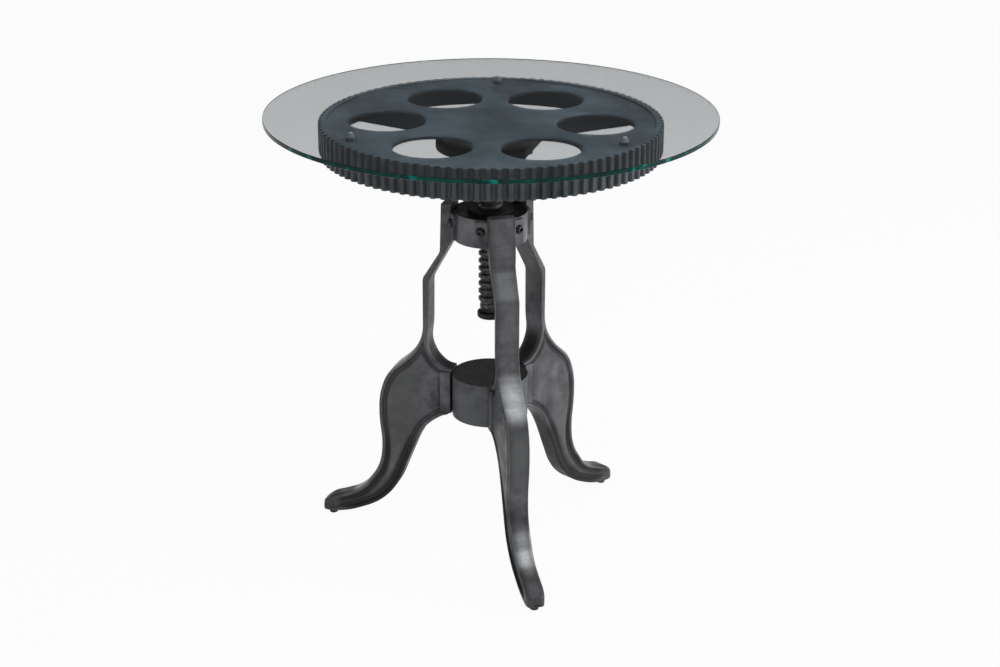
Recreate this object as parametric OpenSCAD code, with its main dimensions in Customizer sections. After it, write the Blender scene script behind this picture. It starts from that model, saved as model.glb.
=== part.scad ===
// Side table on a cast tripod: a toothed wheel under a round glass top, raised by turning
// it on a coarse screw. Origin: on the floor, on the screw's axis. Front leg along -Y, +Z up.

/* [Glass top] */
// Diameter of the glass
glass_d = 610; // [500:5:760]
// Thickness of the glass
glass_t = 6; // [4:1:12]
// Rounding of the glass edge
glass_edge_r = 1.2; // [0.5:0.1:1.8]
// Height of the glass top over the floor, as shown
top_h = 624; // [600:1:660]
// Diameter of a clear bumper
bumper_d = 14; // [8:1:20]
// Height of a clear bumper
bumper_h = 11; // [6:1:16]
// Distance of the bumpers from the axis
bumper_reach = 205; // [185:1:208]

/* [Toothed wheel] */
// Diameter over the tips of the teeth
wheel_d = 463; // [450:1:480]
// Number of teeth
teeth = 102; // [60:1:120]
// Depth of a tooth
tooth_h = 4.2; // [2:0.1:6]
// Depth of the wheel's rim
rim_depth = 38; // [32:0.5:46]
// Thickness of the rim behind the teeth
rim_t = 7; // [6:0.5:14]
// Rise of the rim's upper ring over the web
rim_rise = 3; // [1:0.5:5]
// Width of the rim's upper ring behind the teeth
ring_w = 6.5; // [4:0.5:10]
// Thickness of the web
web_t = 6; // [5.5:0.5:12]
// Thickness of a rib under the web
rib_t = 8; // [5:1:12]
// Depth of a rib under the web
rib_depth = 26; // [12:1:27]
// Number of round openings
openings = 6; // [5:1:6]
// A rib lies under every spoke between two openings, or under every second one
rib_every = 2; // [1:1:2]
// Diameter of a round opening
opening_d = 103; // [80:1:108]
// Distance of the openings from the axis
opening_reach = 140; // [136:1:143]
// Rounding of an opening's upper edge
opening_round = 5; // [2:0.5:5]
// Diameter of the wheel's hub
boss_d = 132; // [120:1:150]
// Turn of the wheel about the axis, as shown
wheel_turn = -17.3; // [-30:0.1:30]

/* [Flange and screw] */
// Diameter of the flange that carries the wheel
flange_d = 149; // [146:1:156]
// Thickness of the flange
flange_t = 12; // [8:1:14]
// Rounding of the flange's upper edge
flange_round = 3; // [1:0.5:6]
// Distance from the axis to the flange's flat side
flange_flat = 59; // [57:1:66]
// Diameter of the circle of flange bolts
flange_bolt_circle = 100; // [90:1:104]
// Outer diameter of the lifting screw
screw_d = 33; // [30:0.5:36]
// Pitch of the screw's thread
pitch = 11; // [10:0.5:12]
// Depth of the screw's thread
thread_h = 2.6; // [1.5:0.1:3]
// Thickness of the nut that holds the screw to the flange
spindle_nut_t = 12; // [9:1:14]
// Length of the screw below the collar, as shown
screw_below = 106.5; // [95:0.5:115]
// Diameter of the stop at the screw's lower end
stop_d = 36; // [34:1:44]
// Height of the stop
stop_h = 8.5; // [8.5:0.5:12]

/* [Collar and hub] */
// Outer diameter of the collar
collar_d = 101; // [92:1:110]
// Height of the collar
collar_h = 40; // [34:1:44]
// Height of the collar's underside over the floor
collar_z = 448; // [440:1:452]
// Outer diameter of the threaded bush
bush_d = 50; // [46:1:54]
// Diameter of the bush's upper flange
bush_flange_d = 64; // [58:1:70]
// Thickness of the bush's upper flange
bush_flange_t = 4; // [3:0.5:5]
// Outer diameter of the centre hub
hub_d = 106; // [100:1:114]
// Height of the centre hub
hub_h = 61; // [54:1:64]
// Height of the hub's underside over the floor
hub_z = 187; // [184:1:190]
// Wall of the centre hub
hub_wall = 8; // [6:1:10]

/* [Legs] */
// Thickness of the strap between collar and hub
strap_t = 8; // [6:0.5:10]
// Distance from the axis to the outside of the strap
strap_reach = 93.5; // [92:0.5:98]
// Thickness of a leg at the collar
leg_top_t = 15.5; // [13:0.5:18]
// Width of a leg at the collar
leg_top_w = 36; // [34:1:38]
// Width of the strap
strap_w = 33; // [31:1:34]
// Width of the thigh
thigh_w = 29; // [27:1:31]
// Width of the lower leg
shin_w = 27; // [25:1:29]
// Thickness of a collar pad
pad_t = 5; // [4:0.5:6]
// Half of the angle that a collar pad spans
pad_half = 38; // [36:1:42]
// Angle of a collar bolt from the middle of its leg
collar_bolt_turn = 29.3; // [28:0.1:31]
// Thickness of the pad at the hub
hub_pad_t = 16; // [10:1:18]
// Width of the pad at the hub
hub_pad_w = 35; // [33:1:38]
// Distance of the groove from the edge of a leg's side
groove_in = 6; // [5:0.5:7]
// Width of the groove
groove_w = 4; // [3:0.5:5]
// Depth of the groove
groove_depth = 2.2; // [1:0.1:3]
// Distance of a foot's glide from the axis
glide_reach = 238; // [234:0.5:240]
// Diameter of a glide
glide_d = 12; // [11:1:20]
// Height of a glide
glide_h = 7; // [4:0.5:9]

/* [Fasteners and clearances] */
// Thread diameter of the bolts
bolt_d = 8; // [7:0.5:9]
// Diameter of a button or cap head
head_d = 13; // [12:0.5:14]
// Height of a cap head
cap_h = 8; // [6:0.5:9]
// Height of a button head
button_h = 4.5; // [3.5:0.5:5.5]
// Thread diameter of a glide's screw
glide_screw_d = 3; // [2.5:0.5:3.5]
// Thickness of a washer
washer_t = 1.6; // [1.2:0.1:2.5]
// Gap between seats that nearly touch
seat_gap = 0.1; // [0.05:0.05:0.3]
// Gap around a bolt in its hole
bolt_gap = 0.2; // [0.1:0.05:0.5]
// Gap between the flanks of screw and bush
thread_gap = 0.4; // [0.3:0.05:0.6]

/* [Hidden] */
$fn = 96;

leg_angles = [-90, 30, 150];
bumper_turn = 180 / openings;

// Levels, from the glass down
glass_z = top_h - glass_t;
web_z = glass_z - bumper_h;
rim_top_z = web_z + rim_rise;
rim_z = rim_top_z - rim_depth;
web_under_z = web_z - web_t;
flange_top_z = rim_z + flange_t;
screw_top_z = flange_top_z + spindle_nut_t;
screw_z = collar_z - screw_below;
collar_top_z = collar_z + collar_h;
hub_top_z = hub_z + hub_h;
leg_rise = 7;
leg_top_z = collar_top_z + leg_rise;

// Radii
wheel_r = wheel_d / 2;
root_r = wheel_r - tooth_h;
rim_in_r = root_r - rim_t;
ring_in_r = root_r - ring_w;
screw_r = screw_d / 2;
core_r = screw_r - thread_h;
spigot_r = 12;
nut_wall = 8;
nut_r = spigot_r + nut_wall;
collar_r = collar_d / 2;
hub_r = hub_d / 2;
hub_in_r = hub_r - hub_wall;
hub_roof_t = 6;
bolt_r = bolt_d / 2;
head_r = head_d / 2;
seat_depth = 0.4;
head_gap = 0.6;
socket_af = 6;
socket_depth = 3;

// Stop at the foot of the screw
ledge_h = 3.5;
stop_play = 0.3;
stop_top_z = screw_z - stop_play;
shoulder_r = 5;
stop_bore_r = shoulder_r + 0.08;
stop_head_h = stop_h - ledge_h - 1;

// Bolts at the collar and at the hub
collar_bolt_z = collar_z + 0.625 * collar_h;
hub_bolt_levels = [hub_z + hub_h / 4, hub_z + 3 * hub_h / 4];
hub_bolt_len = 30;
collar_bolt_len = 18;
glide_screw_len = 18;
flange_bolt_len = 26;
stop_screw_len = 16;
flange_bolts_n = 6;

// Thread: number of sides it is drawn with, crest and flank as shares of the pitch, its turn
// about the axis, and where it starts over the screw's lower end
sides = 24;
crest = 0.4;
flank = 0.15;
thread_turn = 95.6;
thread_start = 1.5;

// Foot's underside, how far the toe runs past the glide, and how far a leg laps over the hub's ends
foot_z = glide_h;
toe = 13;
leg_lap = 3;

// A leg's curves are set by shares: outward of the way from strap to glide, and upward of the way
// from foot to hub, along the hub, or from hub to collar. The third share is the corner's rounding.
strap_in = strap_reach - strap_t;
leg_out = glide_reach - strap_reach;
leg_drop = hub_z - foot_z;
strap_len = collar_z - hub_top_z;
tip = glide_reach + toe;
function shin(out, up, turn) =
    [strap_reach + out * leg_out, foot_z + up * leg_drop, turn * leg_out];
function thigh(out, up, turn) =
    [strap_reach + out * leg_out, hub_z + up * hub_h, turn * leg_out];
function strap(out, up, turn) =
    [strap_reach + out * leg_out, hub_top_z + up * strap_len, turn * leg_out];
function inside(out, up, turn) =
    [strap_in + out * leg_out, hub_top_z + up * strap_len, turn * leg_out];

// Half widths of a leg from top to floor, as [half width, height]
leg_front_half = [
    [leg_top_w / 2, leg_top_z + collar_h],
    [leg_top_w / 2, strap(0, 0.95, 0)[1]],
    [strap_w / 2, strap(0, 0.675, 0)[1]],
    [strap_w / 2, strap(0, 0.25, 0)[1]],
    [thigh_w / 2, thigh(0, 0.67, 0)[1]],
    [shin_w / 2, shin(0, 0.61, 0)[1]],
    [shin_w / 2, shin(0, 0.28, 0)[1]],
    [shin_w / 2 - 0.5, -foot_z]
];

// Side outline of a leg: [distance from the axis, height, rounding of the corner]
leg_side = [
    [collar_r / 1.25, leg_top_z, 0],
    [collar_r + leg_top_t, leg_top_z, leg_top_t / 4],
    strap(-0.178, 0.89, 0.097),
    strap(0, 0.683, 0.083),
    strap(0, 0.245, 0.408),
    strap(0.134, 0.095, 0.789),
    thigh(0.372, 0.838, 0.46),
    thigh(0.46, 0.27, 0.747),
    shin(0.467, 0.879, 1.55),
    shin(0.43, 0.669, 0.92),
    shin(0.466, 0.462, 0.512),
    shin(0.668, 0.231, 0.394),
    shin(0.895, 0.16, 1.3),
    shin(0.99, 0.137, 0.27),
    [tip, foot_z + toe, 0.75 * toe],
    [tip - 0.04 * toe, foot_z, 0.38 * toe],
    shin(0.859, 0, 0.89),
    shin(0.348, 0.18, 0.671),
    shin(0.078, 0.728, 1.3),
    shin(-0.017, 0.863, 0.443),
    shin(-0.163, 0.95, 0.42),
    [hub_in_r + leg_lap, hub_z, 0],
    [hub_in_r + leg_lap, hub_top_z + leg_lap, 0],
    [hub_r + 0.56 * hub_pad_t, hub_top_z + leg_lap, 1.75 * hub_pad_t],
    inside(-0.044, 0.085, 0.295),
    inside(0.024, 0.2, 0.26),
    inside(0, 0.31, 0.95),
    inside(-0.004, 0.661, 0.083),
    [collar_r / 1.25, collar_z + collar_h / 3, 0]
];

// Plain geometry helpers
function unit(v) = v / norm(v);
function turn_between(a, b) = (b - a + 540) % 360 - 180;

// One rounded corner at q, coming from p and leaving to s
function corner(p, q, s, r) =
    r == 0 ? [q] :
    let (u = unit(p - q), v = unit(s - q),
         half = acos(u * v) / 2,
         reach = r / tan(half),
         c = q + unit(u + v) * r / sin(half),
         a = q + u * reach - c,
         b = q + v * reach - c,
         a0 = atan2(a[1], a[0]),
         sweep = turn_between(a0, atan2(b[1], b[0])),
         n = max(2, ceil(abs(sweep) / 7)))
    [for (k = [0:n]) c + r * [cos(a0 + sweep * k / n), sin(a0 + sweep * k / n)]];

// Length that a corner's rounding takes of each of its two sides
function taken(p, q, s, r) = r == 0 ? 0 : r / tan(acos(unit(p - q) * unit(s - q)) / 2);

// Outline with rounded corners. Where two roundings ask for more than the side between them has,
// both get smaller in the same proportion.
function rounded(pts) =
    let (n = len(pts),
         xy = [for (p = pts) [p[0], p[1]]],
         ask = [for (i = [0:n - 1])
             taken(xy[(i + n - 1) % n], xy[i], xy[(i + 1) % n], pts[i][2])],
         room = [for (i = [0:n - 1]) let (j = (i + 1) % n, sum = ask[i] + ask[j])
             sum == 0 ? 1 : min(1, norm(xy[j] - xy[i]) / sum)])
    [for (i = [0:n - 1]) let (before = (i + n - 1) % n)
        each corner(xy[before], xy[i], xy[(i + 1) % n], pts[i][2] * min(room[before], room[i]))];

// Outline of the toothed rim: each tooth has a root, two flanks and a flat tip
function tooth_ring() =
    let (step = 360 / teeth)
    [for (i = [0:teeth - 1], m = [[-0.31, 0], [-0.20, 1], [0.20, 1], [0.31, 0]])
        let (a = (i + m[0]) * step, r = root_r + m[1] * tooth_h)
        r * [cos(a), sin(a)]];

// Helical thread as a closed body. Each of its columns is a list of [radius, height] up the side
// and the thread climbs one pitch per turn: root, flank, crest, flank.
function thread_column(j, foot, z0, turns, root, tip, head) = concat(
    foot,
    [for (t = [0:turns - 1], m = [[0, 0], [flank, 1], [flank + crest, 1], [2 * flank + crest, 0]])
        let (way = t + j / sides,
             fade = min(1, way, turns - way))
        [root + (tip - root) * m[1] * max(0, fade), z0 + (way + m[0]) * pitch]],
    head);

module swept_columns(foot, z0, turns, root, tip, head) {
    cols = [for (j = [0:sides - 1]) thread_column(j, foot, z0, turns, root, tip, head)];
    nf = len(foot);
    nt = 4 * turns;
    nh = len(head);
    n = nf + nt + nh;
    pts = [for (j = [0:sides - 1], p = cols[j])
        let (a = 360 * j / sides)
        [p[0] * cos(a), p[0] * sin(a), p[1]]];
    side = [for (j = [0:sides - 2], k = [0:n - 2])
        each [[j * n + k, (j + 1) * n + k + 1, (j + 1) * n + k],
              [j * n + k, j * n + k + 1, (j + 1) * n + k + 1]]];
    // From the last column back to the first the thread is one turn further on
    last = (sides - 1) * n;
    seam_foot = [for (k = [0:nf - 2])
        each [[last + k, k + 1, k], [last + k, last + k + 1, k + 1]]];
    seam_start = [each [for (k = [0:4]) [last + nf - 1, nf + k, nf - 1 + k]],
                  [last + nf - 1, last + nf, nf + 4]];
    seam_thread = [for (k = [nf:nf + nt - 6])
        each [[last + k, k + 5, k + 4], [last + k, last + k + 1, k + 5]]];
    seam_end = [each [for (k = [nf + nt - 5:nf + nt - 1]) [last + k, last + k + 1, nf + nt]],
                [last + nf + nt - 5, nf + nt, nf + nt - 1]];
    seam_head = [for (k = [nf + nt:n - 2])
        each [[last + k, k + 1, k], [last + k, last + k + 1, k + 1]]];
    cap_low = [[for (j = [0:sides - 1]) j * n]];
    cap_high = [[for (j = [sides - 1:-1:0]) j * n + n - 1]];
    polyhedron(points = pts,
        faces = concat(side, seam_foot, seam_start, seam_thread, seam_end, seam_head,
                       cap_low, cap_high),
        convexity = 10);
}

// Fasteners, head down at the origin, thread up along +Z
module cap_bolt(length) {
    difference() {
        translate([0, 0, -cap_h]) cylinder(r = head_r, h = cap_h);
        translate([0, 0, -cap_h - 1]) cylinder(d = socket_af / cos(30), h = cap_h - 3, $fn = 6);
    }
    cylinder(r = bolt_r, h = length);
}

module button_bolt(length) {
    difference() {
        rotate_extrude() polygon(rounded([
            [0, -button_h, 0], [head_r, -button_h, button_h - 1.2], [head_r, 0, 0], [0, 0, 0]]));
        translate([0, 0, -button_h - 1])
            cylinder(d = (socket_af - 1) / cos(30), h = socket_depth + 1, $fn = 6);
    }
    cylinder(r = bolt_r, h = length);
}

// Stands a +Z fastener on a point at a radius, pointing at the axis or away from it
module pointing_in(angle, r, z) {
    rotate([0, 0, angle]) translate([r, 0, z]) rotate([0, -90, 0]) children();
}

module pointing_out(angle, r, z) {
    rotate([0, 0, angle]) translate([r, 0, z]) rotate([0, 90, 0]) children();
}

module glass_top() {
    r = glass_d / 2;
    color([0.62, 0.74, 0.72, 0.5])
        rotate_extrude($fn = 180) polygon(rounded([
            [0, glass_z, 0], [r, glass_z, glass_edge_r],
            [r, top_h, glass_edge_r], [0, top_h, 0]]));
}

module glass_bumper(i) {
    r = bumper_d / 2;
    color([0.85, 0.88, 0.9, 0.6])
        rotate([0, 0, wheel_turn - bumper_turn + 120 * i])
        translate([bumper_reach, 0, web_z])
        rotate_extrude() polygon(rounded([
            [0, 0, 0], [r, 0, 0], [r - 0.8, bumper_h, 1.2], [0, bumper_h, 0]]));
}

// One round opening with its upper edge rounded over
module opening_cutter() {
    r = opening_d / 2;
    rotate_extrude() polygon(concat(
        [[0, web_under_z - 1], [r, web_under_z - 1]],
        [for (a = [180:-15:90])
            [r + opening_round + opening_round * cos(a),
             web_z - opening_round + opening_round * sin(a)]],
        [[r + opening_round, web_z + 1], [0, web_z + 1]]));
}

module toothed_wheel() {
    color([0.27, 0.3, 0.33]) rotate([0, 0, wheel_turn]) difference() {
        translate([0, 0, rim_z]) linear_extrude(rim_depth) polygon(tooth_ring());
        rotate_extrude($fn = 180) polygon(rounded([
            [0, web_z, 0], [ring_in_r, web_z, 2],
            [ring_in_r, rim_top_z + 1, 0], [0, rim_top_z + 1, 0]]));
        difference() {
            rotate_extrude($fn = 180) polygon(rounded([
                [boss_d / 2, rim_z - 1, 0], [rim_in_r, rim_z - 1, 0],
                [rim_in_r, web_under_z, 5], [boss_d / 2, web_under_z, 5]]));
            for (i = [0:rib_every:openings - 1]) rotate([0, 0, (i + 0.5) * 360 / openings])
                translate([boss_d / 2 - 2, -rib_t / 2, web_under_z - rib_depth])
                cube([rim_in_r - boss_d / 2 + 4, rib_t, rib_depth + 1]);
        }
        for (i = [0:openings - 1]) rotate([0, 0, i * 360 / openings])
            translate([opening_reach, 0, 0]) opening_cutter();
        translate([0, 0, rim_z - 1]) cylinder(d = flange_d + 2, h = flange_t + 1 + seat_gap);
        translate([0, 0, rim_z]) cylinder(r = nut_r + 6, h = flange_t + spindle_nut_t + 3);
        for (i = [0:flange_bolts_n - 1]) rotate([0, 0, i * 360 / flange_bolts_n])
            translate([flange_bolt_circle / 2, 0, rim_z])
            cylinder(r = bolt_r + bolt_gap / 2, h = flange_bolt_len + 2);
    }
}

module wheel_flange() {
    color([0.12, 0.12, 0.13]) difference() {
        rotate_extrude() polygon(rounded([
            [0, rim_z, 0], [flange_d / 2, rim_z, 1],
            [flange_d / 2, flange_top_z, flange_round], [0, flange_top_z, 0]]));
        rotate([0, 0, -30]) translate([flange_flat, -flange_d, rim_z - 1])
            cube([flange_d, 2 * flange_d, flange_t + 2]);
        translate([0, 0, rim_z - 1]) cylinder(r = spigot_r + seat_gap, h = flange_t + 2);
        rotate([0, 0, wheel_turn]) for (i = [0:flange_bolts_n - 1])
            rotate([0, 0, i * 360 / flange_bolts_n])
            translate([flange_bolt_circle / 2, 0, rim_z - 1])
            cylinder(r = bolt_r + bolt_gap, h = flange_t + 2);
    }
}

module flange_bolts() {
    color([0.15, 0.15, 0.15]) rotate([0, 0, wheel_turn]) for (i = [0:flange_bolts_n - 1])
        rotate([0, 0, i * 360 / flange_bolts_n])
        translate([flange_bolt_circle / 2, 0, rim_z]) cap_bolt(flange_bolt_len);
}

module spindle_nut() {
    color([0.2, 0.2, 0.2]) translate([0, 0, flange_top_z]) difference() {
        cylinder(r = nut_r, h = spindle_nut_t, $fn = 6);
        translate([0, 0, -1]) cylinder(r = spigot_r + seat_gap, h = spindle_nut_t + 2);
    }
}

// The screw: threaded below, a plain neck through the flange, a blind hole for the stop's screw
module lift_screw() {
    turns = floor((rim_z - screw_z - 4) / pitch);
    hole_r = bolt_r + bolt_gap;
    hole_h = 20;
    color([0.13, 0.13, 0.13]) rotate([0, 0, thread_turn]) swept_columns(
        [[hole_r, screw_z + hole_h], [hole_r, screw_z], [core_r - 1, screw_z],
         [core_r, screw_z + 1]],
        screw_z + thread_start, turns, core_r, screw_r,
        [[core_r, rim_z - 1.5], [core_r + 1, rim_z], [spigot_r, rim_z], [spigot_r, screw_top_z]]);
}

module stop_washer() {
    z0 = stop_top_z - stop_h;
    color([0.12, 0.12, 0.12]) difference() {
        rotate_extrude() polygon(rounded([
            [0, z0, 0], [stop_d / 2, z0, 2.5], [stop_d / 2, stop_top_z, 1.5],
            [0, stop_top_z, 0]]));
        translate([0, 0, z0 - 1]) cylinder(r = stop_bore_r, h = stop_h + 2);
        translate([0, 0, z0 - 1]) cylinder(r = head_r + 1.5, h = stop_h - ledge_h + 1);
    }
}

module stop_screw() {
    ledge_z = stop_top_z - ledge_h;
    color([0.2, 0.2, 0.2]) {
        difference() {
            translate([0, 0, ledge_z - stop_head_h]) cylinder(r = head_r + 1, h = stop_head_h);
            translate([0, 0, ledge_z - stop_head_h - 1])
                cylinder(d = socket_af / cos(30), h = socket_depth + 1, $fn = 6);
        }
        translate([0, 0, ledge_z]) cylinder(r = shoulder_r, h = screw_z - ledge_z);
        translate([0, 0, screw_z]) cylinder(r = bolt_r, h = stop_screw_len);
    }
}

module collar() {
    color([0.28, 0.28, 0.29]) difference() {
        translate([0, 0, collar_z]) cylinder(r = collar_r, h = collar_h);
        translate([0, 0, collar_z - 1]) cylinder(r = bush_d / 2 + seat_gap / 2, h = collar_h + 2);
        for (a = leg_angles, s = [-1, 1])
            pointing_in(a + s * collar_bolt_turn, collar_r + 1, collar_bolt_z)
            cylinder(r = bolt_r + bolt_gap / 4, h = collar_bolt_len - pad_t + 2);
    }
}

// The bush: plain outside with a flange on top, threaded inside
module threaded_bush() {
    turns = ceil((collar_h + bush_flange_t) / pitch) + 4;
    first_z = screw_z + thread_start + pitch * (floor((collar_z - screw_z) / pitch) - 2);
    bore_r = core_r + thread_gap;
    color([0.3, 0.27, 0.2]) difference() {
        union() {
            translate([0, 0, collar_z]) cylinder(r = bush_d / 2, h = collar_h, $fn = 48);
            translate([0, 0, collar_top_z])
                cylinder(r = bush_flange_d / 2, h = bush_flange_t, $fn = 48);
        }
        rotate([0, 0, thread_turn]) swept_columns(
            [[bore_r - 0.5, first_z - 2], [bore_r, first_z - 1]],
            first_z, turns, bore_r, screw_r + thread_gap,
            [[bore_r, first_z + (turns + 1) * pitch], [bore_r - 0.5, first_z + (turns + 1) * pitch + 1]]);
    }
}

module collar_bolts() {
    color([0.08, 0.08, 0.08]) for (a = leg_angles, s = [-1, 1])
        pointing_in(a + s * collar_bolt_turn, collar_r + pad_t - seat_depth, collar_bolt_z)
        button_bolt(collar_bolt_len);
}

// Front view of a leg, thinned by cut on each side
module leg_front_view(cut) {
    half = concat(
        [for (p = leg_front_half) [p[0] - cut, p[1]]],
        [for (i = [len(leg_front_half) - 1:-1:0])
            [cut - leg_front_half[i][0], leg_front_half[i][1]]]);
    rotate([90, 0, 90]) linear_extrude(2 * tip) polygon(half);
}

module leg_side_view(width) {
    rotate([90, 0, 0]) linear_extrude(width, center = true) children();
}

// What is cut from the end of a foot to round it in plan
module toe_cutter() {
    half = shin_w / 2;
    translate([0, 0, foot_z - 1]) linear_extrude(5 * toe) difference() {
        translate([glide_reach, -half - 5]) square([toe + 5, 2 * half + 10]);
        polygon(rounded([
            [glide_reach - 1, -half, 0], [tip - 0.19 * half, -half, 0.45 * half],
            [tip, -half / 3, 0.9 * half], [tip, half / 3, 0.9 * half],
            [tip - 0.19 * half, half, 0.45 * half], [glide_reach - 1, half, 0]]));
    }
}

// A leg lying along +X: collar block and pad, strap, thigh, hub pad, lower leg and foot
module leg() {
    difference() {
        union() {
            intersection() {
                leg_side_view(leg_top_w + 4) polygon(rounded(leg_side));
                leg_front_view(0);
            }
            rotate([0, 0, -pad_half]) rotate_extrude(angle = 2 * pad_half)
                translate([collar_r - 2, collar_z + 2]) square([pad_t + 2, collar_h - 3]);
            translate([hub_r - 2, -hub_pad_w / 2, hub_z])
                cube([hub_pad_t + 2, hub_pad_w, hub_h]);
        }
        difference() {
            leg_side_view(leg_top_w + 8) difference() {
                offset(delta = -groove_in) polygon(rounded(leg_side));
                offset(delta = -groove_in - groove_w) polygon(rounded(leg_side));
            }
            leg_front_view(groove_depth);
            translate([0, -leg_top_w, strap(0, 0.3, 0)[1]]) cube([tip, 2 * leg_top_w, top_h]);
            cylinder(r = hub_r + hub_pad_t + 6, h = leg_top_z);
        }
        toe_cutter();
        translate([0, 0, collar_z - collar_h]) cylinder(r = collar_r + seat_gap, h = 3 * collar_h);
        translate([0, 0, hub_z - hub_h / 2]) cylinder(r = hub_r + seat_gap, h = 2 * hub_h);
        for (s = [-1, 1]) {
            pointing_in(s * collar_bolt_turn, collar_r + pad_t + 1, collar_bolt_z)
                cylinder(r = bolt_r + bolt_gap, h = 3 * pad_t);
            pointing_in(s * collar_bolt_turn, collar_r + pad_t + 2 * button_h, collar_bolt_z)
                cylinder(r = head_r + head_gap, h = 2 * button_h + seat_depth);
        }
        for (z = hub_bolt_levels) pointing_out(0, hub_r - 1, z)
            cylinder(r = bolt_r + bolt_gap / 4, h = hub_bolt_len - hub_wall + 2);
        translate([glide_reach, 0, foot_z - 1])
            cylinder(r = glide_screw_d / 2 + bolt_gap / 4, h = glide_screw_len - glide_h / 2 + 3);
    }
}

module leg_at(angle) {
    color([0.25, 0.25, 0.26]) rotate([0, 0, angle]) leg();
}

module centre_hub() {
    color([0.27, 0.28, 0.3]) difference() {
        translate([0, 0, hub_z]) cylinder(r = hub_r, h = hub_h);
        translate([0, 0, hub_z - 1]) cylinder(r = hub_in_r, h = hub_h - hub_roof_t + 1);
        for (a = leg_angles, z = hub_bolt_levels) {
            pointing_out(a, hub_in_r - 2, z) cylinder(r = bolt_r + bolt_gap, h = hub_wall + 4);
            pointing_out(a, hub_in_r - 10, z) cylinder(r = head_r + 2, h = 10 + seat_depth / 2);
        }
    }
}

module hub_bolts() {
    color([0.2, 0.2, 0.2]) for (a = leg_angles, z = hub_bolt_levels)
        pointing_out(a, hub_in_r + seat_depth / 2 - washer_t, z)
        cap_bolt(hub_bolt_len);
}

module hub_washers() {
    color([0.45, 0.45, 0.45]) for (a = leg_angles, z = hub_bolt_levels)
        pointing_out(a, hub_in_r + seat_depth / 2 - washer_t, z) difference() {
            cylinder(r = head_r + 1.5, h = washer_t);
            translate([0, 0, -1]) cylinder(r = bolt_r + bolt_gap, h = washer_t + 2);
        }
}

module glide(angle) {
    r = glide_d / 2;
    color([0.07, 0.07, 0.07]) rotate([0, 0, angle]) translate([glide_reach, 0, 0]) difference() {
        rotate_extrude() polygon(rounded([
            [0, 0, 0], [r, 0, 1], [r, glide_h, 0], [0, glide_h, 0]]));
        translate([0, 0, -1]) cylinder(r = glide_screw_d / 2 + bolt_gap, h = glide_h + 2);
        translate([0, 0, -1]) cylinder(r = glide_screw_d, h = glide_h / 2 + 1);
    }
}

module glide_screws() {
    color([0.6, 0.6, 0.6]) for (a = leg_angles) rotate([0, 0, a])
        translate([glide_reach, 0, glide_h / 2]) {
            translate([0, 0, -glide_screw_d * 0.8])
                cylinder(r = glide_screw_d * 0.9, h = glide_screw_d * 0.8);
            cylinder(r = glide_screw_d / 2, h = glide_screw_len);
        }
}

glass_top();
glass_bumper(0);  // glass_bumper_1
glass_bumper(1);  // glass_bumper_2
glass_bumper(2);  // glass_bumper_3
toothed_wheel();
wheel_flange();
flange_bolts();
spindle_nut();
lift_screw();
stop_washer();
stop_screw();
collar();
threaded_bush();
collar_bolts();
leg_at(leg_angles[0]);  // leg_front
leg_at(leg_angles[1]);  // leg_right
leg_at(leg_angles[2]);  // leg_left
centre_hub();
hub_bolts();
hub_washers();
glide(leg_angles[0]);  // glide_front
glide(leg_angles[1]);  // glide_right
glide(leg_angles[2]);  // glide_left
glide_screws();
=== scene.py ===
"""A side table: a round glass on a toothed wheel, which a coarse screw lifts out of a three-legged stand."""

import math

import bmesh
import bpy
import numpy as np
from mathutils import Matrix, Vector


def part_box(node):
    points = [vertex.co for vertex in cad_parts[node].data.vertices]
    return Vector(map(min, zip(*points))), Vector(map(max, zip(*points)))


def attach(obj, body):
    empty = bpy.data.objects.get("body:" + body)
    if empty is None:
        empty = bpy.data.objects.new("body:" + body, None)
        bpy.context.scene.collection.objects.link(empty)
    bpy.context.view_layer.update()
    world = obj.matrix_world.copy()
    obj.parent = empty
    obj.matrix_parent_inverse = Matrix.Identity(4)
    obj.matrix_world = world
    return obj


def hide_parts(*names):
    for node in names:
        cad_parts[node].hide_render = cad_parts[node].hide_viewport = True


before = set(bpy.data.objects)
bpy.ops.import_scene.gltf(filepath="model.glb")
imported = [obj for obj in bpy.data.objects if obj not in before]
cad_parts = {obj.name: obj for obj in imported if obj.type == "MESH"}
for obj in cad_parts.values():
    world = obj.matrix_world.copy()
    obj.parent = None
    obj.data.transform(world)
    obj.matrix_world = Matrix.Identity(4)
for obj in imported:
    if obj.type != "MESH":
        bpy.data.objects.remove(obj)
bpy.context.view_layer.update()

MM = 0.001

# Levels and radii of the frame, in millimetres
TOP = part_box("glass_top")[1].z / MM
GLASS_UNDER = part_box("glass_top")[0].z / MM
GLASS_R = 305.0
WHEEL_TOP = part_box("toothed_wheel")[1].z / MM
WHEEL_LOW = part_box("toothed_wheel")[0].z / MM
COLLAR_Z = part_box("collar")[0].z / MM
COLLAR_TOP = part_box("collar")[1].z / MM
COLLAR_R = 50.5
HUB_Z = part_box("centre_hub")[0].z / MM
HUB_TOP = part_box("centre_hub")[1].z / MM
HUB_R = 53.0
SCREW_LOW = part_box("lift_screw")[0].z / MM
SCREW_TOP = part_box("lift_screw")[1].z / MM
FOOT_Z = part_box("glide_front")[1].z / MM

LEG_ANGLES = {"leg_front": -90, "leg_right": 30, "leg_left": 150}


# Small helpers

def unit(v):
    """The direction of a vector."""
    return v / np.linalg.norm(v)


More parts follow.
